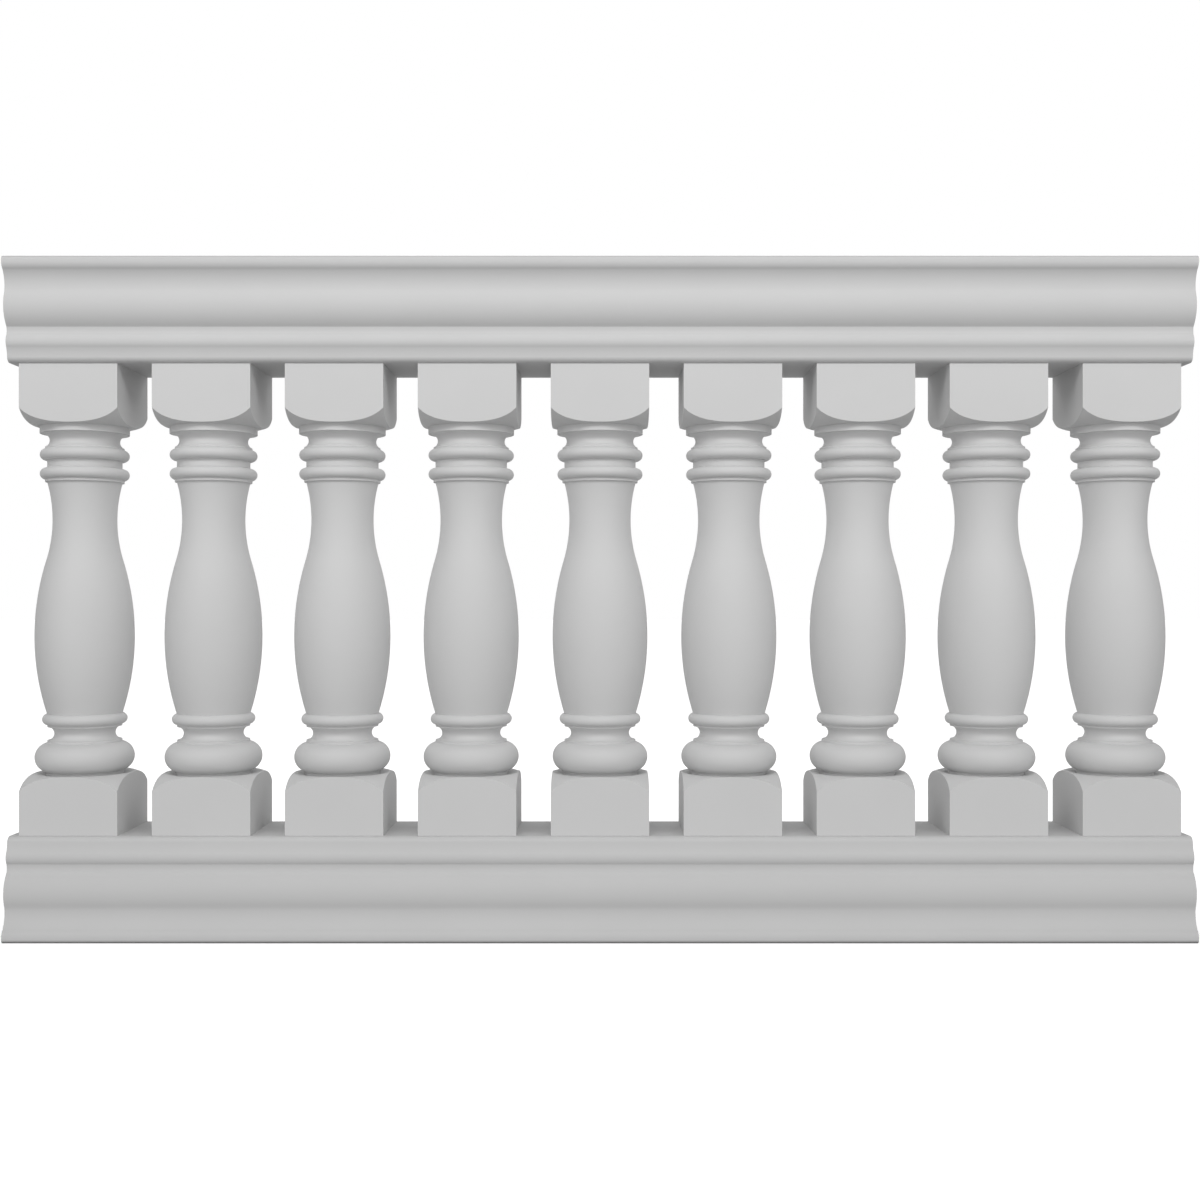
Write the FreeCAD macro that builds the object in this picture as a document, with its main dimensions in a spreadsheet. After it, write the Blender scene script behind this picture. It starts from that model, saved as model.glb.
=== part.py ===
import FreeCAD, Part
import os
import re
import Sketcher

# A deck railing section: a moulded bottom rail, a row of turned balusters standing on it, and the
# same moulding the other way up along their tops. Millimetres, +Z up, +X along the rails and -Y to
# the front. The origin is on the ground, under the middle of the bottom rail.

SIZES = {
    # The section as a whole.
    "rail_length": 1524.0,
    "baluster_count": 9,
    "end_margin": 12.7,
    # The rail moulding. Depths go in from the rail's widest point.
    "rail_width": 177.8,
    "rail_height": 133.35,
    # The rail's sides, up from the face that the balusters meet.
    "edge_radius": 8.0,
    "edge_depth": 19.1,
    "flare_height": 10.8,
    "flare_radius": 40.0,
    "bead_height": 16.4,
    "bead_radius": 13.9,
    "bead_foot_depth": 16.6,
    "bead_head_depth": 17.2,
    "quirk_height": 10.3,
    "quirk_radius": 18.2,
    "belly_foot_depth": 17.2,
    "belly_radius": 39.6,
    # The rail's sides, down from its outer face.
    "lip_corner_radius": 5.0,
    "lip_face_height": 2.0,
    "lip_roll_height": 9.9,
    "lip_roll_depth": 4.6,
    "cove_height": 26.8,
    "cove_radius": 35.6,
    "cove_foot_depth": 10.4,
    # The baluster and the square blocks at its ends.
    "baluster_height": 609.6,
    "block_width": 127.0,
    "shoulder_height": 76.8,
    "shoulder_radius": 44.2,
    "shoulder_inset": 10.5,
    # The turning, up from the lower block. Cuts go in from the widest diameter that the blank gives.
    "blank_skim": 0.3,
    "base_lip_inset": 1.5,
    "base_quirk_depth": 2.6,
    "base_seat_cut": 14.2,
    "base_ring_height": 39.5,
    "base_fillet_height": 2.7,
    "base_fillet_cut": 15.9,
    "hollow_height": 17.5,
    "hollow_ledge": 0.7,
    "hollow_depth": 7.9,
    "foot_fillet_height": 2.7,
    "foot_ring_height": 14.8,
    "foot_ring_cut": 9.3,
    "vase_foot_cut": 15.4,
    "vase_belly_rise": 101.8,
    # The turning, down from the upper block.
    "collar_height": 8.6,
    "collar_cut": 6.35,
    "throat_height": 17.8,
    "throat_depth": 7.4,
    "throat_ledge": 3.4,
    "throat_fillet_height": 2.5,
    "ring_fillet_cut": 13.1,
    "ring_height": 15.1,
    "ring_cut": 6.55,
    "band_height": 10.2,
    "band_cut": 15.8,
    "vase_fillet_height": 3.4,
    "vase_neck_drop": 49.7,
    "vase_neck_cut": 22.4,
    "vase_neck_radius": 190.0,
}

doc = FreeCAD.newDocument("railing_section")
sheet = doc.addObject("Spreadsheet::Sheet", "sizes")
for row, (alias, number) in enumerate(SIZES.items(), start=1):
    sheet.set(f"A{row}", alias)
    sheet.set(f"B{row}", str(number))
    sheet.setAlias(f"B{row}", alias)
doc.recompute()


def bound(expression):
    """The expression with each size's name pointed at its cell."""
    return re.sub(r"[a-z_]+", lambda word: f"sizes.{word[0]}" if word[0] in SIZES else word[0], expression)


def value(expression):
    """What the expression comes to with the sizes as they are."""
    return float(sheet.evalExpression(bound(expression)))


def origin_plane(body, role):
    return next(feature for feature in body.Origin.OriginFeatures if feature.Role == role)


def arc_through(start, end, radius, kind):
    """The arc from start to end that leaves the solid round or hollow, with the solid on its left."""
    chord = end.sub(start)
    outward = FreeCAD.Vector(chord.y, -chord.x, 0).normalize()
    rise = radius - max(radius ** 2 - (chord.Length / 2) ** 2, 0.0) ** 0.5
    middle = start.add(end).multiply(0.5).add(outward.multiply(rise if kind == "round" else -rise))
    return Part.Arc(start, middle, end)


def profile_sketch(body, name, role, corners):
    """A closed sketch on one of the body's own planes, every corner and radius bound to the sizes.

    A corner is its place across and its place up. A third entry bends the edge that arrives there:
    ("round", radius) bulges out of the solid and ("hollow", radius) bites into it.
    """
    sketch = body.newObject("Sketcher::SketchObject", name)
    sketch.AttachmentSupport = [(origin_plane(body, role), "")]
    sketch.MapMode = "FlatFace"
    places = [FreeCAD.Vector(value(corner[0]), value(corner[1]), 0) for corner in corners]
    edges = []
    for index, corner in enumerate(corners):
        start, end = places[index - 1], places[index]
        if len(corner) == 3:
            kind, radius = corner[2]
            curve = arc_through(start, end, value(radius), kind)
        else:
            curve = Part.LineSegment(start, end)
        edges.append(sketch.addGeometry(curve))
    arc_ends = {}
    for edge, corner in zip(edges, corners):
        # An arc is stored counter-clockwise, so a hollow one starts where its edge ends.
        arc_ends[edge] = (2, 1) if len(corner) == 3 and corner[2][0] == "hollow" else (1, 2)
    constraints, ties = [], {}
    for index, corner in enumerate(corners):
        edge, following = edges[index], edges[(index + 1) % len(edges)]
        end_point, start_point = arc_ends[edge][1], arc_ends[following][0]
        constraints.append(Sketcher.Constraint("Coincident", edge, end_point, following, start_point))
        for axis, direction, expression in ((-2, "DistanceX", corner[0]), (-1, "DistanceY", corner[1])):
            if expression == "0":
                constraints.append(Sketcher.Constraint("PointOnObject", edge, end_point, axis))
                continue
            place = Sketcher.Constraint(direction, -1, 1, edge, end_point, value(expression))
            place.Name = f"{direction}_{index}"
            constraints.append(place)
            ties[place.Name] = expression
        if len(corner) == 3:
            bend = Sketcher.Constraint("Radius", edge, value(corner[2][1]))
            bend.Name = f"radius_{index}"
            constraints.append(bend)
            ties[bend.Name] = corner[2][1]
    sketch.addConstraint(constraints)
    for dimension, expression in ties.items():
        sketch.setExpression(f"Constraints.{dimension}", bound(expression))
    return sketch


def new_body(name):
    body = doc.addObject("PartDesign::Body", name)
    body.Label = name
    return body


def rail(name):
    """One moulded rail, from the flat face that the balusters meet up to its outer face."""
    half = "rail_width / 2"
    side = f"{half} - edge_depth"
    flare = "edge_radius + flare_height"
    bead = f"{flare} + bead_height"
    quirk = f"{bead} + quirk_height"
    lip_face = "rail_height - lip_corner_radius - lip_face_height"
    lip = f"{lip_face} - lip_roll_height"
    roll_radius = "(lip_roll_height ^ 2 + lip_roll_depth ^ 2) / (2 * lip_roll_depth)"
    corners = [
        ("0", "0"),
        (f"{side} - edge_radius", "0"),
        (side, "edge_radius", ("round", "edge_radius")),
        (f"{half} - bead_foot_depth", flare, ("hollow", "flare_radius")),
        (f"{half} - bead_head_depth", bead, ("round", "bead_radius")),
        (f"{half} - belly_foot_depth", quirk, ("hollow", "quirk_radius")),
        (f"{half} - cove_foot_depth", f"{lip} - cove_height", ("round", "belly_radius")),
        (f"{half} - lip_roll_depth", lip, ("hollow", "cove_radius")),
        (half, lip_face, ("round", roll_radius)),
        (half, "rail_height - lip_corner_radius"),
        (f"{half} - lip_corner_radius", "rail_height", ("round", "lip_corner_radius")),
        ("0", "rail_height"),
    ]
    body = new_body(name)
    moulding = profile_sketch(body, f"{name}_moulding", "YZ_Plane", corners)
    run = body.newObject("PartDesign::Pad", f"{name}_run")
    run.Profile = moulding
    run.SideType = "Symmetric"
    run.setExpression("Length", bound("rail_length"))
    both_sides = body.newObject("PartDesign::Mirrored", f"{name}_both_sides")
    both_sides.Originals = [run]
    both_sides.MirrorPlane = (origin_plane(body, "XZ_Plane"), [""])
    both_sides.Refine = True
    body.Tip = both_sides
    return body


def ring_edge(middle, half_height, ring_reach, at_radius, sign):
    """How high a half-round ring's outline stands where it meets another radius."""
    return f"{middle} {sign} sqrt(({half_height}) ^ 2 - ({at_radius} - ({ring_reach} - {half_height})) ^ 2)"


def turned_corners():
    """The waste that turning takes off the square blank, from the lower block to the upper one."""
    reach = "block_width / 2 - blank_skim"
    crown = "block_width / 2 - shoulder_inset"
    waste = f"{crown} + shoulder_radius"
    shoulder_middle = "shoulder_height - shoulder_radius"

    lip = "block_width / 2 - base_lip_inset"
    lip_height = f"{shoulder_middle} + sqrt(shoulder_radius ^ 2 - ({lip} - ({crown})) ^ 2)"
    seat = f"{reach} - base_seat_cut"
    base_half = "base_ring_height / 2"
    base_middle = f"shoulder_height + {base_half}"
    fillet = f"{reach} - base_fillet_cut"
    hollow_foot = "shoulder_height + base_ring_height + base_fillet_height"
    hollow_head = f"{hollow_foot} + hollow_height"
    ledge = f"{fillet} - hollow_ledge"
    hollow_radius = "hollow_depth / 2 + hollow_height ^ 2 / (8 * hollow_depth)"
    foot_half = "foot_ring_height / 2"
    foot_reach = f"{reach} - foot_ring_cut"
    foot_middle = f"{hollow_head} + foot_fillet_height + {foot_half}"
    foot_head = f"{foot_middle} + {foot_half}"
    vase_foot = f"{reach} - vase_foot_cut"
    vase_foot_height = ring_edge(foot_middle, foot_half, foot_reach, vase_foot, "+")
    belly_height = f"{foot_head} + vase_belly_rise"

    collar = f"{reach} - collar_cut"
    collar_foot = "baluster_height - shoulder_height - collar_height"
    upper_middle = f"baluster_height - ({shoulder_middle})"
    collar_head = f"{upper_middle} - sqrt(shoulder_radius ^ 2 - ({collar} - ({crown})) ^ 2)"
    throat_foot = f"{collar_foot} - throat_height"
    throat_head = f"{collar} - throat_ledge"
    ring_fillet = f"{reach} - ring_fillet_cut"
    throat_chord = f"(throat_height ^ 2 + ({throat_head} - ({ring_fillet})) ^ 2)"
    throat_radius = f"throat_depth / 2 + {throat_chord} / (8 * throat_depth)"
    ring_half = "ring_height / 2"
    ring_reach = f"{reach} - ring_cut"
    ring_core = f"{ring_reach} - {ring_half}"
    band = f"{reach} - band_cut"
    upper_ring = f"{throat_foot} - throat_fillet_height - {ring_half}"
    band_head = f"{upper_ring} - {ring_half}"
    band_foot = f"{band_head} - band_height"
    lower_ring = f"{band_foot} - {ring_half}"
    vase_head = f"{lower_ring} - {ring_half} - vase_fillet_height"

    neck = f"{reach} - vase_neck_cut"
    neck_height = f"{vase_head} - vase_neck_drop"
    vase_head_radius = f"{neck} + vase_neck_radius - sqrt(vase_neck_radius ^ 2 - vase_neck_drop ^ 2)"
    # Belly and neck are two arcs that share a tangent, so they meet on the line between the vase's
    # widest and narrowest points and divide it as their radii divide the sum of both.
    rise = f"({neck_height} - ({belly_height}))"
    both_radii = f"({rise} ^ 2 + vase_neck_cut ^ 2) / (2 * vase_neck_cut)"
    neck_share = f"vase_neck_radius / ({both_radii})"
    foot_rise = f"({belly_height} - ({vase_foot_height}))"
    lower_belly_radius = f"({foot_rise} ^ 2 + vase_foot_cut ^ 2) / (2 * vase_foot_cut)"

    return [
        (waste, shoulder_middle),
        (lip, lip_height, ("round", "shoulder_radius")),
        (seat, f"{lip_height} - base_quirk_depth"),
        (seat, ring_edge(base_middle, base_half, reach, seat, "-")),
        (fillet, ring_edge(base_middle, base_half, reach, fillet, "+"), ("round", base_half)),
        (fillet, hollow_foot),
        (ledge, hollow_foot),
        (ledge, hollow_head, ("hollow", hollow_radius)),
        (fillet, hollow_head),
        (fillet, ring_edge(foot_middle, foot_half, foot_reach, fillet, "-")),
        (vase_foot, vase_foot_height, ("round", foot_half)),
        (reach, belly_height, ("round", lower_belly_radius)),
        (
            f"{neck} + vase_neck_cut * {neck_share}",
            f"{neck_height} - {rise} * {neck_share}",
            ("round", f"{both_radii} - vase_neck_radius"),
        ),
        (vase_head_radius, vase_head, ("hollow", "vase_neck_radius")),
        (ring_fillet, vase_head),
        (ring_fillet, ring_edge(lower_ring, ring_half, ring_reach, ring_fillet, "-")),
        (ring_core, band_foot, ("round", ring_half)),
        (band, band_foot),
        (band, band_head),
        (ring_core, band_head),
        (ring_fillet, ring_edge(upper_ring, ring_half, ring_reach, ring_fillet, "+"), ("round", ring_half)),
        (ring_fillet, throat_foot),
        (throat_head, collar_foot, ("hollow", throat_radius)),
        (collar, collar_foot),
        (collar, collar_head),
        (waste, upper_middle, ("round", "shoulder_radius")),
    ]


def baluster(name):
    """A square blank, turned between the two blocks that are left at its ends."""
    half = "block_width / 2"
    body = new_body(name)
    square = profile_sketch(
        body,
        f"{name}_square",
        "XY_Plane",
        [(f"-{half}", f"-{half}"), (half, f"-{half}"), (half, half), (f"-{half}", half)],
    )
    blank = body.newObject("PartDesign::Pad", f"{name}_blank")
    blank.Profile = square
    blank.setExpression("Length", bound("baluster_height"))
    waste = profile_sketch(body, f"{name}_waste", "XZ_Plane", turned_corners())
    turning = body.newObject("PartDesign::Groove", f"{name}_turning")
    turning.Profile = waste
    turning.ReferenceAxis = (waste, ["V_Axis"])
    turning.Angle = 360
    body.Tip = turning
    return body


bottom_rail = rail("bottom_rail")
bottom_rail.Placement = FreeCAD.Placement(
    FreeCAD.Vector(0, 0, value("rail_height")), FreeCAD.Rotation(FreeCAD.Vector(1, 0, 0), 180)
)
bottom_rail.setExpression("Placement.Base.z", bound("rail_height"))

top_rail = rail("top_rail")
top_rail.setExpression("Placement.Base.z", bound("rail_height + baluster_height"))

subparts = [bottom_rail, top_rail]
row_length = "(rail_length - 2 * end_margin - block_width)"
for number in range(SIZES["baluster_count"]):
    standing = baluster(f"baluster_{number + 1}")
    share = f"({number} / (baluster_count - 1) - 1 / 2)"
    standing.setExpression("Placement.Base.x", bound(f"{row_length} * {share}"))
    standing.setExpression("Placement.Base.z", bound("rail_height"))
    subparts.append(standing)

doc.recompute()

for item in doc.Objects:
    if "Invalid" in item.State or "Error" in item.State:
        raise RuntimeError(f"{item.Name} did not recompute: {item.State}")
for piece in subparts:
    shape = piece.Shape
    if shape.isNull() or not shape.isValid() or len(shape.Solids) != 1:
        raise RuntimeError(f"{piece.Label} is not one valid solid")

os.makedirs("parts", exist_ok=True)
for piece in subparts:
    piece.Shape.exportStep(f"parts/{piece.Label}.step")
    print(f"{piece.Label}: {piece.Shape.Volume / 1e6:.3f} litres")
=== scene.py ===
import math

import bmesh
import bpy
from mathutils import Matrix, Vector


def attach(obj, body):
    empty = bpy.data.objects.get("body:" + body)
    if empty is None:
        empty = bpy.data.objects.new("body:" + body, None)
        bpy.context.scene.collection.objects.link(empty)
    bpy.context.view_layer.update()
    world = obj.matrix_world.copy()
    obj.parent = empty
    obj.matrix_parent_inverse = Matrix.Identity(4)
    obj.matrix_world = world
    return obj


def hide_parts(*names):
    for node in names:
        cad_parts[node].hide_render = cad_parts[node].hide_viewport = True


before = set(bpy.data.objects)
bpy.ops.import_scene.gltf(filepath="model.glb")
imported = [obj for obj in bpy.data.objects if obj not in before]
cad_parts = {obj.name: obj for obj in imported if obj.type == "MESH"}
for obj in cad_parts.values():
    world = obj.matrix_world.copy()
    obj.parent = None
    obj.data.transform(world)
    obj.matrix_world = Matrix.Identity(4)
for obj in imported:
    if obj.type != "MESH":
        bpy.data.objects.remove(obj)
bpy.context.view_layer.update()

# The bottom rail is one straight run of moulded rigid polyurethane under a matt grey-white primer.
# It lies with its broad face on the ground, the same moulding runs along its front and its back,
# and both ends are plain square saw cuts with the arris just taken off.
mm = 0.001
close = 0.01 * mm
rail_length = 1524.0
rail_height = 133.35
rail_half_width = 88.9
rail_edge = 8.0
rail_side = rail_half_width - 19.1
flare = rail_half_width - 16.6
flare_top = rail_edge + 10.8
flare_radius = 40.0
bead = rail_half_width - 17.2
bead_top = flare_top + 16.4
bead_radius = 13.9
quirk_top = bead_top + 10.3
quirk_radius = 18.2
lip_corner = 5.0
lip_flat = 2.0
lip_face = rail_height - lip_corner - lip_flat
lip_roll_height = 9.9
lip_roll_depth = 4.6
lip_roll_radius = (lip_roll_height ** 2 + lip_roll_depth ** 2) / (2 * lip_roll_depth)
cove_top = lip_face - lip_roll_height
cove_radius = 35.6
belly = rail_half_width - 10.4
belly_top = cove_top - 26.8
belly_radius = 39.6
rail_outline = [
    (0.0, 0.0),
    (rail_side - rail_edge, 0.0),
    (rail_side, rail_edge, "round", rail_edge),
    (flare, flare_top, "hollow", flare_radius),
    (bead, bead_top, "round", bead_radius),
    (bead, quirk_top, "hollow", quirk_radius),
    (belly, belly_top, "round", belly_radius),
    (rail_half_width - lip_roll_depth, cove_top, "hollow", cove_radius),
    (rail_half_width, lip_face, "round", lip_roll_radius),
    (rail_half_width, rail_height - lip_corner),
    (rail_half_width - lip_corner, rail_height, "round", lip_corner),
    (0.0, rail_height),
]
saw_cut_ease = 0.5
ease_steps = 2
end_on = 0.9
rail_crease = 20.0


def draw_outline(name, corners, start, out, up):
    """Draws a line through corners, each so far out and so far up from start, in millimetres.

    The material lies to the left of the line. The edge that arrives at a corner is straight, or
    swells out of the material ("round") or bites into it ("hollow") with a radius.
    """
    places = [start + (out * corner[0] + up * corner[1]) * mm for corner in corners]
    bpy.ops.object.select_all(action="DESELECT")
    bpy.ops.mesh.primitive_plane_add(size=mm, location=places[0])
    piece = bpy.context.object
    piece.name = piece.data.name = name
    bpy.ops.object.transform_apply(location=True)
    bpy.ops.object.mode_set(mode="EDIT")
    bpy.ops.mesh.select_mode(type="VERT")
    bpy.ops.mesh.select_all(action="SELECT")
    bpy.ops.mesh.merge(type="CENTER")
    axis = out.cross(up)
    finest_turn, longest_step = math.radians(6), 4.0 * mm
    for here, there, corner in zip(places, places[1:], corners[1:]):
        chord = there - here
        if len(corner) == 2:
            bpy.ops.mesh.extrude_vertices_move(TRANSFORM_OT_translate={"value": chord})
            continue
        radius = corner[3] * mm
        side = 1 if corner[2] == "round" else -1
        turn = 2 * math.asin(chord.length / (2 * radius))
        to_middle = axis.cross(chord).normalized() * side
        middle = (here + there) / 2 + to_middle * radius * math.cos(turn / 2)
        steps = max(math.ceil(turn / finest_turn), math.ceil(turn * radius / longest_step))
        bpy.ops.mesh.spin(steps=steps, angle=-side * turn, center=middle, axis=axis)
    return piece


def lies_at(measure, size):
    """Whether a measure taken in the mesh is that many millimetres."""
    return abs(measure - size * mm) < close


def pick_edges(piece, test):
    """Selects only the edges that pass the test."""
    bpy.ops.mesh.select_mode(type="EDGE")
    bpy.ops.mesh.select_all(action="DESELECT")
    mesh = bmesh.from_edit_mesh(piece.data)
    for edge in mesh.edges:
        if test(edge):
            edge.select_set(True)
    bmesh.update_edit_mesh(piece.data)


def ease_edges(ease):
    """Takes the picked arrises off by so many millimetres."""
    bpy.ops.mesh.bevel(offset=ease * mm, segments=ease_steps, affect="EDGES", clamp_overlap=True)


def finish_surface(piece, crease):
    """Faces turned outwards, curves shaded smooth up to a crease, flats kept flat beside eased edges."""
    bpy.ops.mesh.select_all(action="SELECT")
    bpy.ops.mesh.normals_make_consistent(inside=False)
    bpy.ops.object.mode_set(mode="OBJECT")
    bpy.ops.object.shade_smooth_by_angle(angle=math.radians(crease))
    level = piece.modifiers.new("flats", "WEIGHTED_NORMAL")
    level.keep_sharp = True
    bpy.ops.object.modifier_apply(modifier=level.name)


bottom_rail = draw_outline(
    "bottom_rail_moulding",
    rail_outline,
    Vector((-rail_length / 2, 0, rail_height)) * mm,
    Vector((0, -1, 0)),
    Vector((0, 0, -1)),
)
bpy.ops.mesh.select_all(action="SELECT")
bpy.ops.mesh.extrude_region_move(TRANSFORM_OT_translate={"value": (rail_length * mm, 0, 0)})
bpy.ops.object.mode_set(mode="OBJECT")
both_sides = bottom_rail.modifiers.new("front_and_back", "MIRROR")
both_sides.use_axis = (False, True, False)
both_sides.merge_threshold = close
bpy.ops.object.modifier_apply(modifier=both_sides.name)
bpy.ops.object.mode_set(mode="EDIT")
pick_edges(bottom_rail, lambda edge: all(lies_at(point.co.y, 0.0) for point in edge.verts))
bpy.ops.mesh.dissolve_edges()
for rail_end in (-rail_length / 2, rail_length / 2):
    pick_edges(bottom_rail, lambda edge: all(lies_at(point.co.x, rail_end) for point in edge.verts))
    bpy.ops.mesh.edge_face_add()
bpy.ops.mesh.select_all(action="SELECT")
bpy.ops.mesh.normals_make_consistent(inside=False)
pick_edges(
    bottom_rail,
    lambda edge: lies_at(edge.verts[0].co.x - edge.verts[1].co.x, 0.0)
    and any(abs(face.normal.x) > end_on for face in edge.link_faces),
)
ease_edges(saw_cut_ease)
finish_surface(bottom_rail, rail_crease)

cloud_scale, cloud_detail = 9.0, 4.0
thin_from, thin_to = 0.38, 0.62
spray_scale, spray_detail = 520.0, 3.0
smoothest, roughest = 0.52, 0.68
primer_ior = 1.46
primer_sheen = 0.35
peel_strength = 0.35
coat_socket, thin_coat_socket, mixed_socket = 6, 7, 2


def map_value(tree, value, start, end, low, high, curve="LINEAR"):
    """Adds a node that carries a value between start and end over to one between low and high."""
    node = tree.nodes.new("ShaderNodeMapRange")
    node.interpolation_type = curve
    for label, number in (("From Min", start), ("From Max", end), ("To Min", low), ("To Max", high)):
        node.inputs[label].default_value = number
    tree.links.new(value, node.inputs["Value"])
    return node.outputs["Result"]


primer_film = bpy.data.node_groups.new("primer_film", "ShaderNodeTree")
for label, way, kind in (
    ("Place", "INPUT", "NodeSocketVector"),
    ("Coat", "INPUT", "NodeSocketColor"),
    ("Thin Coat", "INPUT", "NodeSocketColor"),
    ("Colour", "OUTPUT", "NodeSocketColor"),
    ("Roughness", "OUTPUT", "NodeSocketFloat"),
    ("Height", "OUTPUT", "NodeSocketFloat"),
):
    primer_film.interface.new_socket(label, in_out=way, socket_type=kind)
film_in = primer_film.nodes.new("NodeGroupInput")
film_out = primer_film.nodes.new("NodeGroupOutput")
link = primer_film.links.new
cloud = primer_film.nodes.new("ShaderNodeTexNoise")
cloud.inputs["Scale"].default_value = cloud_scale
cloud.inputs["Detail"].default_value = cloud_detail
link(film_in.outputs["Place"], cloud.inputs["Vector"])
tone = primer_film.nodes.new("ShaderNodeMix")
tone.data_type = "RGBA"
thinning = map_value(primer_film, cloud.outputs["Fac"], thin_from, thin_to, 0.0, 1.0)
link(thinning, tone.inputs["Factor"])
link(film_in.outputs["Coat"], tone.inputs[coat_socket])
link(film_in.outputs["Thin Coat"], tone.inputs[thin_coat_socket])
link(tone.outputs[mixed_socket], film_out.inputs["Colour"])
spray = primer_film.nodes.new("ShaderNodeTexNoise")
spray.inputs["Scale"].default_value = spray_scale
spray.inputs["Detail"].default_value = spray_detail
link(film_in.outputs["Place"], spray.inputs["Vector"])
link(spray.outputs["Fac"], film_out.inputs["Height"])
dulling = map_value(primer_film, spray.outputs["Fac"], 0.0, 1.0, smoothest, roughest)
link(dulling, film_out.inputs["Roughness"])


def primer_paint(name, coat, thin_coat, peel):
    """A matt primer laid on by spray: a faint cloudiness, uneven sheen and a fine peel."""
    paint = bpy.data.materials.new(name)
    paint.use_nodes = True
    nodes, join = paint.node_tree.nodes, paint.node_tree.links.new
    shader = nodes["Principled BSDF"]
    shader.inputs["IOR"].default_value = primer_ior
    shader.inputs["Specular IOR Level"].default_value = primer_sheen
    where = nodes.new("ShaderNodeTexCoord")
    film = nodes.new("ShaderNodeGroup")
    film.node_tree = primer_film
    film.inputs["Coat"].default_value = (coat, coat, coat, 1.0)
    film.inputs["Thin Coat"].default_value = (thin_coat, thin_coat, thin_coat, 1.0)
    join(where.outputs["Object"], film.inputs["Place"])
    join(film.outputs["Colour"], shader.inputs["Base Color"])
    join(film.outputs["Roughness"], shader.inputs["Roughness"])
    bump = nodes.new("ShaderNodeBump")
    bump.inputs["Distance"].default_value = peel * mm
    bump.inputs["Strength"].default_value = peel_strength
    join(film.outputs["Height"], bump.inputs["Height"])
    join(bump.outputs["Normal"], shader.inputs["Normal"])
    return paint


rail_primer = primer_paint("rail_primer", coat=0.562, thin_coat=0.554, peel=0.05)
bottom_rail.data.materials.append(rail_primer)
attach(bottom_rail, "root")
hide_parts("bottom_rail")

# The balusters are cast in the same primed polyurethane from a turned pattern: a square block at each
# end with the curved shoulders that turning leaves, and rings, hollows and a vase between them.
# Each stands on the bottom rail on its lower block, nine of them at even spacing.
baluster_height = 609.6
block_half = 63.5
shoulder_height = 76.8
shoulder_radius = 44.2
# A reach is so far from the axis: the block's half width, or the widest turning, less what is cut away.
crown = block_half - 10.5
lip = block_half - 1.5
quirk_depth = 2.6
widest = block_half - 0.3
seat = widest - 14.2
base_height = 39.5
base_half = base_height / 2
base_middle = shoulder_height + base_half
fillet = widest - 15.9
fillet_height = 2.7
hollow_foot = shoulder_height + base_height + fillet_height
hollow_height = 17.5
hollow_depth = 7.9
hollow_radius = hollow_depth / 2 + hollow_height ** 2 / (8 * hollow_depth)
hollow_head = hollow_foot + hollow_height
ledge = fillet - 0.7
foot_height = 14.8
foot_half = foot_height / 2
foot_reach = widest - 9.3
foot_middle = hollow_head + fillet_height + foot_half
vase_foot = widest - 15.4
belly_rise = 101.8
belly_height = foot_middle + foot_half + belly_rise
collar = widest - 6.35
collar_height = 8.6
collar_foot = baluster_height - shoulder_height - collar_height
throat_height = 17.8
throat_depth = 7.4
throat_foot = collar_foot - throat_height
throat_head = collar - 3.4
ring_fillet = widest - 13.1
throat_chord = math.hypot(throat_height, throat_head - ring_fillet)
throat_radius = throat_depth / 2 + throat_chord ** 2 / (8 * throat_depth)
ring_height = 15.1
ring_half = ring_height / 2
ring_reach = widest - 6.55
ring_core = ring_reach - ring_half
upper_fillet_height = 2.5
upper_ring = throat_foot - upper_fillet_height - ring_half
band = widest - 15.8
band_height = 10.2
band_head = upper_ring - ring_half
band_foot = band_head - band_height
lower_ring = band_foot - ring_half
lower_fillet_height = 3.4
vase_head = lower_ring - ring_half - lower_fillet_height
neck_cut = 22.4
neck = widest - neck_cut
neck_radius = 190.0
neck_drop = 49.7
neck_height = vase_head - neck_drop
vase_head_reach = neck + neck_radius - math.sqrt(neck_radius ** 2 - neck_drop ** 2)
vase_rise = neck_height - belly_height
both_radii = (vase_rise ** 2 + neck_cut ** 2) / (2 * neck_cut)
neck_share = neck_radius / both_radii


def ring_edge(middle, half, reach, at, side):
    """How high a half-round ring stands where it meets another radius."""
    return middle + side * math.sqrt(half ** 2 - (at - (reach - half)) ** 2)


def shoulder_at(reach):
    """How high above the block's end the turned shoulder is, so far from the axis."""
    return shoulder_height - shoulder_radius + math.sqrt(shoulder_radius ** 2 - (reach - crown) ** 2)


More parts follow.
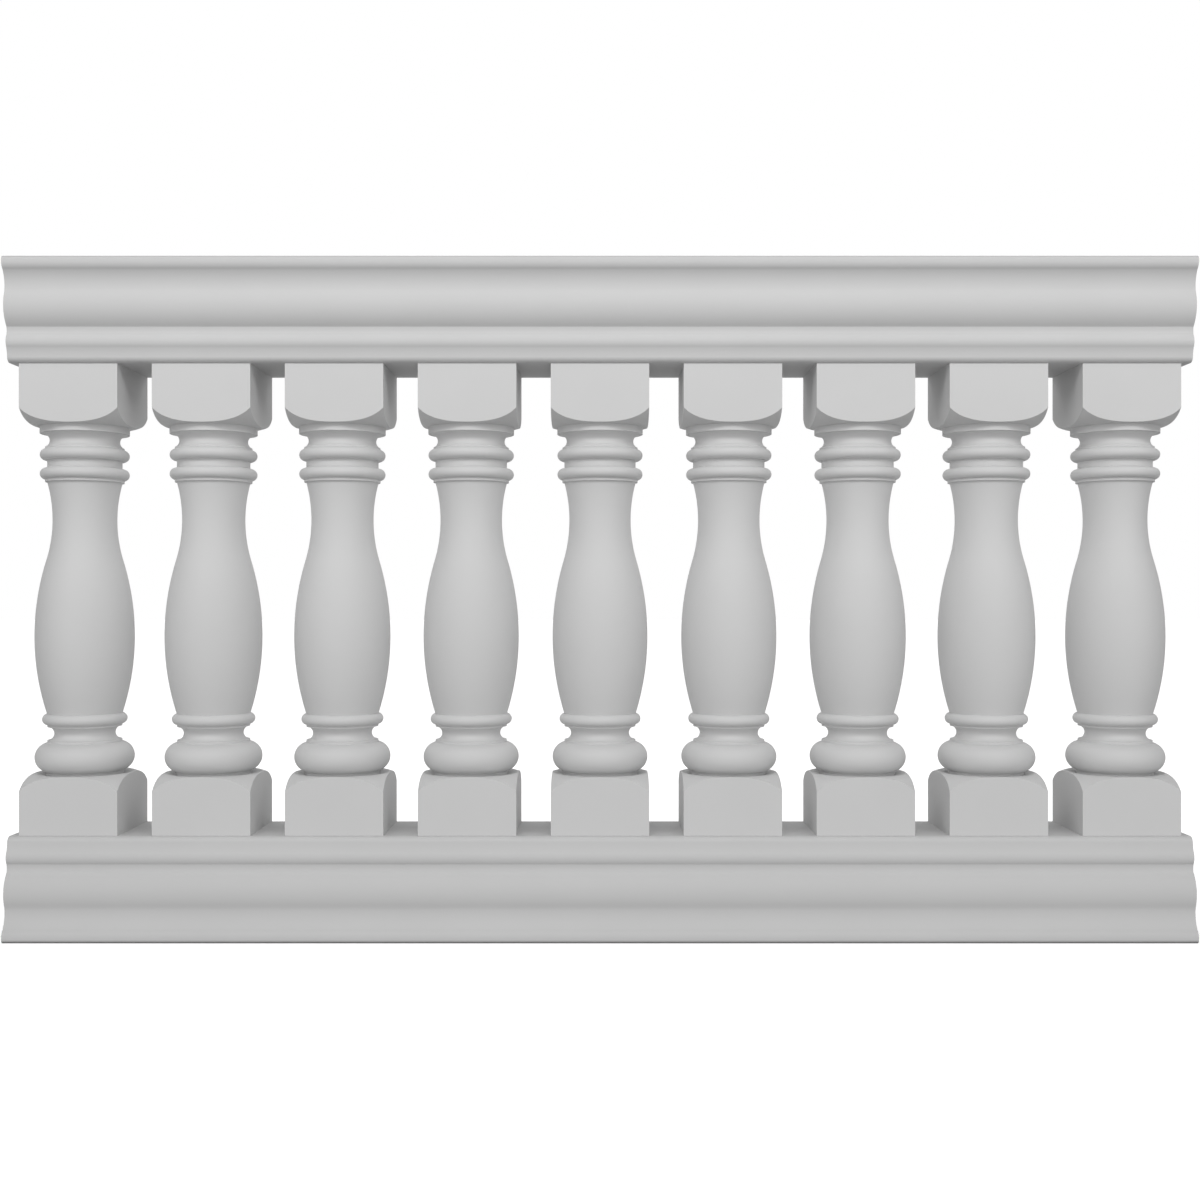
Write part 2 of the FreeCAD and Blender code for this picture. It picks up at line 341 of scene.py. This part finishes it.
lip_height = shoulder_at(lip)
collar_head = baluster_height - shoulder_at(collar)
vase_foot_height = ring_edge(foot_middle, foot_half, foot_reach, vase_foot, 1)
foot_rise = belly_height - vase_foot_height
foot_cut = widest - vase_foot
vase_foot_radius = (foot_rise ** 2 + foot_cut ** 2) / (2 * foot_cut)
vase_turn = neck + neck_cut * neck_share
vase_turn_height = neck_height - vase_rise * neck_share
turned_outline = [
    (lip, lip_height),
    (seat, lip_height - quirk_depth),
    (seat, ring_edge(base_middle, base_half, widest, seat, -1)),
    (fillet, ring_edge(base_middle, base_half, widest, fillet, 1), "round", base_half),
    (fillet, hollow_foot),
    (ledge, hollow_foot),
    (ledge, hollow_head, "hollow", hollow_radius),
    (fillet, hollow_head),
    (fillet, ring_edge(foot_middle, foot_half, foot_reach, fillet, -1)),
    (vase_foot, vase_foot_height, "round", foot_half),
    (widest, belly_height, "round", vase_foot_radius),
    (vase_turn, vase_turn_height, "round", both_radii - neck_radius),
    (vase_head_reach, vase_head, "hollow", neck_radius),
    (ring_fillet, vase_head),
    (ring_fillet, ring_edge(lower_ring, ring_half, ring_reach, ring_fillet, -1)),
    (ring_core, band_foot, "round", ring_half),
    (band, band_foot),
    (band, band_head),
    (ring_core, band_head),
    (ring_fillet, ring_edge(upper_ring, ring_half, ring_reach, ring_fillet, 1), "round", ring_half),
    (ring_fillet, throat_foot),
    (throat_head, collar_foot, "hollow", throat_radius),
    (collar, collar_foot),
    (collar, collar_head),
]
turning_steps = 128
shoulder_cuts = 4
block_edge_ease = 0.25
block_edge_angle = math.radians(25)
turned_edge_ease = 0.3
turned_edge_angle = math.radians(30)
turned_edge_limit = lip - 1.0
baluster_crease = 28.0
baluster_count = 9
rail_overhang = 12.7


def reach_of(point):
    """How far a point is from the baluster's axis."""
    return math.hypot(point.co.x, point.co.y)


def square_of(point):
    """Half the width of the square, set like the blocks, that a point lies on."""
    return max(abs(point.co.x), abs(point.co.y))


def copy_piece(pattern, name):
    """Copies a finished piece, with a mesh of its own."""
    bpy.ops.object.select_all(action="DESELECT")
    pattern.select_set(True)
    bpy.context.view_layer.objects.active = pattern
    bpy.ops.object.duplicate(linked=False)
    piece = bpy.context.object
    piece.name = piece.data.name = name
    return piece


baluster = draw_outline(
    "baluster_pattern", turned_outline, Vector(), Vector((1, 0, 0)), Vector((0, 0, 1))
)
bpy.ops.mesh.select_all(action="SELECT")
bpy.ops.mesh.spin(steps=turning_steps, angle=math.tau, center=(0, 0, 0), axis=(0, 0, 1))
bpy.ops.mesh.select_all(action="SELECT")
bpy.ops.mesh.remove_doubles(threshold=close)

for block_end, inwards, start_reach, start_height in (
    (0.0, 1, lip, lip_height),
    (baluster_height, -1, collar, collar_head),
):
    # The turned end is spread out level to the square, and then brought onto the shoulder's curve.
    pick_edges(
        baluster,
        lambda edge: all(
            lies_at(reach_of(point), start_reach) and lies_at(point.co.z, start_height)
            for point in edge.verts
        ),
    )
    bpy.ops.mesh.extrude_edges_move(TRANSFORM_OT_translate={"value": (0, 0, 0)})
    mesh = bmesh.from_edit_mesh(baluster.data)
    for point in mesh.verts:
        if point.select:
            spread = block_half * mm / square_of(point)
            point.co.x *= spread
            point.co.y *= spread
    bmesh.update_edit_mesh(baluster.data)
    pick_edges(
        baluster,
        lambda edge: all(lies_at(point.co.z, start_height) for point in edge.verts)
        and any(lies_at(square_of(point), block_half) for point in edge.verts)
        and any(lies_at(reach_of(point), start_reach) for point in edge.verts),
    )
    bpy.ops.mesh.subdivide(number_cuts=shoulder_cuts)
    mesh = bmesh.from_edit_mesh(baluster.data)
    for point in mesh.verts:
        if lies_at(point.co.z, start_height) and reach_of(point) > start_reach * mm + close:
            point.co.z = (block_end + inwards * shoulder_at(reach_of(point) / mm)) * mm
    bmesh.update_edit_mesh(baluster.data)
    # The block's four sides run from that curve to its end, which is closed.
    pick_edges(
        baluster,
        lambda edge: edge.is_boundary
        and all(lies_at(square_of(point), block_half) for point in edge.verts),
    )
    bpy.ops.mesh.extrude_edges_move(TRANSFORM_OT_translate={"value": (0, 0, 0)})
    bpy.ops.transform.resize(value=(1, 1, 0), center_override=(0, 0, block_end * mm))
    bpy.ops.mesh.edge_face_add()

bpy.ops.mesh.select_all(action="SELECT")
bpy.ops.mesh.normals_make_consistent(inside=False)
pick_edges(
    baluster,
    lambda edge: all(lies_at(square_of(point), block_half) for point in edge.verts)
    and edge.calc_face_angle(0.0) > block_edge_angle
    and not all(min(point.co.z, baluster_height * mm - point.co.z) < close for point in edge.verts),
)
ease_edges(block_edge_ease)
pick_edges(
    baluster,
    lambda edge: edge.is_convex
    and edge.calc_face_angle(0.0) > turned_edge_angle
    and max(reach_of(point) for point in edge.verts) < turned_edge_limit * mm
    and lies_at(edge.verts[0].co.z - edge.verts[1].co.z, 0.0)
    and lies_at(reach_of(edge.verts[0]) - reach_of(edge.verts[1]), 0.0),
)
ease_edges(turned_edge_ease)
finish_surface(baluster, baluster_crease)

baluster_primer = primer_paint("baluster_primer", coat=0.604, thin_coat=0.594, peel=0.04)
baluster.data.materials.append(baluster_primer)
first_place = -rail_length / 2 + rail_overhang + block_half
spacing = -2 * first_place / (baluster_count - 1)
for number in range(baluster_count):
    standing = copy_piece(baluster, f"baluster_{number + 1}_turning")
    place = ((first_place + spacing * number) * mm, 0, rail_height * mm)
    bpy.ops.transform.translate(value=place)
    bpy.ops.object.transform_apply(location=True)
    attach(standing, "root")
    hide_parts(f"baluster_{number + 1}")
bpy.data.objects.remove(baluster)

# The top rail is another length of the primed polyurethane moulding, turned over, so that its broad
# face is the handrail's top. It is bedded on the nine upper blocks.
top_rail = copy_piece(bottom_rail, "top_rail_moulding")
section_height = 2 * rail_height + baluster_height
section_middle = Vector((0, 0, section_height / 2 * mm))
bpy.ops.transform.rotate(value=math.pi, orient_axis="X", center_override=section_middle)
bpy.ops.object.transform_apply(location=True, rotation=True, scale=True)
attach(top_rail, "root")
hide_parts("top_rail")

# The studio floor is plain white board. Where the camera sees it, it is lit, and a glow painted into it
# brings it to white; close round the section that glow is painted weaker, a painted shade added to the
# section's real shadow. Rays from the section pass through it to the walls, so it throws no light up,
# but within about a centimetre they find a near-black sheet, a painted contact shadow along the ground
# line.
# The studio's own sizes are in metres.
floor_size = 60.0
floor_white = 0.9
floor_roughness = 0.9
shade_start, shade_end = 0.3, 1.2
painted_shade_glow, open_floor_glow = 0.5, 0.85
shade_form = (0.5, 1.0, 0.0)
contact_near, contact_far = 2.5, 11.0
contact_shadow_grey = 0.05
bpy.ops.object.select_all(action="DESELECT")
bpy.ops.mesh.primitive_plane_add(size=floor_size)
floor = bpy.context.object
floor.name = floor.data.name = "studio_floor"
floor.visible_glossy = False
floor_paint = bpy.data.materials.new("studio_floor_white")
floor_paint.use_nodes = True
boards, nail = floor_paint.node_tree.nodes, floor_paint.node_tree.links.new
floor_shader = boards["Principled BSDF"]
floor_shader.inputs["Base Color"].default_value = (floor_white, floor_white, floor_white, 1.0)
floor_shader.inputs["Roughness"].default_value = floor_roughness
floor_shader.inputs["Specular IOR Level"].default_value = 0.0
floor_shader.inputs["Emission Strength"].default_value = 1.0
floor_place = boards.new("ShaderNodeTexCoord")
from_section = boards.new("ShaderNodeVectorMath")
from_section.operation = "MULTIPLY"
from_section.inputs[1].default_value = shade_form
nail(floor_place.outputs["Object"], from_section.inputs[0])
distance = boards.new("ShaderNodeVectorMath")
distance.operation = "LENGTH"
nail(from_section.outputs["Vector"], distance.inputs[0])
# The floor's glow is painted weaker close round the section and rises smoothly to full further out:
# painted shade round the section.
glow = map_value(
    floor_paint.node_tree,
    distance.outputs["Value"],
    shade_start,
    shade_end,
    painted_shade_glow,
    open_floor_glow,
    "SMOOTHSTEP",
)
nail(glow, floor_shader.inputs["Emission Color"])
floor_ray = boards.new("ShaderNodeLightPath")
# Rays from the section that meet the floor within about a centimetre find a near-black sheet instead of
# passing through: a painted contact shadow along the ground line.
contact_shadow_fade = map_value(
    floor_paint.node_tree,
    floor_ray.outputs["Ray Length"],
    contact_near * mm,
    contact_far * mm,
    1.0,
    0.0,
    "SMOOTHSTEP",
)
let_through = boards.new("ShaderNodeBsdfTransparent")
painted_contact_shadow = boards.new("ShaderNodeBsdfDiffuse")
painted_contact_shadow.inputs["Color"].default_value = (contact_shadow_grey, contact_shadow_grey, contact_shadow_grey, 1.0)
from_below = boards.new("ShaderNodeMixShader")
nail(contact_shadow_fade, from_below.inputs["Fac"])
nail(let_through.outputs["BSDF"], from_below.inputs[1])
nail(painted_contact_shadow.outputs["BSDF"], from_below.inputs[2])
floor_seen = boards.new("ShaderNodeMixShader")
nail(floor_ray.outputs["Is Camera Ray"], floor_seen.inputs["Fac"])
nail(from_below.outputs["Shader"], floor_seen.inputs[1])
nail(floor_shader.outputs["BSDF"], floor_seen.inputs[2])
nail(floor_seen.outputs["Shader"], boards["Material Output"].inputs["Surface"])
floor.data.materials.append(floor_paint)

# The studio walls are white in front and behind, and open and dark at the sides. They grow dim towards
# the ceiling, lower down behind than in front, and towards the floor. What the camera sees beyond the
# floor is plain white.
wall_light = 0.715
ceiling_share, low_share = 0.10, 0.30
wall_start, wall_end = 0.05, 0.30
ceiling_start, ceiling_end = 0.40, 0.95
low_start, low_end = 0.55, 0.80
backwards, upwards, downwards = (0.0, 1.0, 0.0), (0.0, 0.19, 0.98), (0.0, 0.0, -1.0)
white = (1.0, 1.0, 1.0, 1.0)
world = bpy.data.worlds.new("studio_walls")
world.use_nodes = True
walls, wire = world.node_tree.nodes, world.node_tree.links.new
looking = walls.new("ShaderNodeTexCoord")


def look_along(direction):
    """How far a view points along a direction: 1 straight along it, 0 square to it."""
    facing = walls.new("ShaderNodeVectorMath")
    facing.operation = "DOT_PRODUCT"
    facing.inputs[1].default_value = direction
    wire(looking.outputs["Generated"], facing.inputs[0])
    return facing.outputs["Value"]


def work_out(operation, *values):
    """Adds a node for one step of arithmetic."""
    step = walls.new("ShaderNodeMath")
    step.operation = operation
    for number, value in enumerate(values):
        wire(value, step.inputs[number])
    return step.outputs["Value"]


front_or_back = work_out("ABSOLUTE", look_along(backwards))
wall_fade = map_value(
    world.node_tree, front_or_back, wall_start, wall_end, 0.0, wall_light, "SMOOTHSTEP"
)
ceiling_fade = map_value(
    world.node_tree, look_along(upwards), ceiling_start, ceiling_end, 1.0, ceiling_share, "SMOOTHSTEP"
)
low_fade = map_value(
    world.node_tree, look_along(downwards), low_start, low_end, 1.0, low_share, "SMOOTHSTEP"
)
wall_glow = walls["Background"]
wall_glow.inputs["Color"].default_value = white
upper_fade = work_out("MULTIPLY", wall_fade, ceiling_fade)
wire(work_out("MULTIPLY", upper_fade, low_fade), wall_glow.inputs["Strength"])
picture_ground = walls.new("ShaderNodeBackground")
picture_ground.inputs["Color"].default_value = white
picture_ground.inputs["Strength"].default_value = 1.0
wall_ray = walls.new("ShaderNodeLightPath")
wall_seen = walls.new("ShaderNodeMixShader")
wire(wall_ray.outputs["Is Camera Ray"], wall_seen.inputs["Fac"])
wire(wall_glow.outputs["Background"], wall_seen.inputs[1])
wire(picture_ground.outputs["Background"], wall_seen.inputs[2])
wire(wall_seen.outputs["Shader"], walls["World Output"].inputs["Surface"])
bpy.context.scene.world = world
bpy.context.scene.view_settings.view_transform = "Standard"

# Two long soft boxes hang level with each other and point at the middle of the section: a strong one
# over the camera, and a weak one behind, which gives the back some shape.
soft_box_width, soft_box_depth = 4.4, 0.57
soft_box_distance, soft_box_height = 1.7, 1.97
for name, side, brightness in (("front_soft_box", -1, 4.45), ("rear_soft_box", 1, 1.8)):
    place = (0, side * soft_box_distance, soft_box_height)
    bpy.ops.object.light_add(type="AREA", location=place)
    soft_box = bpy.context.object
    soft_box.name = name
    soft_box.data.shape = "RECTANGLE"
    soft_box.data.size, soft_box.data.size_y = soft_box_width, soft_box_depth
    soft_box.data.energy = brightness * math.pi * soft_box_width * soft_box_depth
    aim = section_middle - soft_box.location
    soft_box.rotation_euler = aim.to_track_quat("-Z", "Y").to_euler()
    soft_box.visible_camera = False

# The camera stands level in front of the middle of the section, at the distance and with the lens
# that the perspective of the blocks gives.
camera_distance, camera_height = 1.957, 0.4375
film_width, lens_length = 36.0, 44.07
bpy.ops.object.camera_add(
    location=(0, -camera_distance, camera_height), rotation=(math.pi / 2, 0, 0)
)
camera = bpy.context.object
camera.data.sensor_width = film_width
camera.data.lens = lens_length
bpy.context.scene.camera = camera
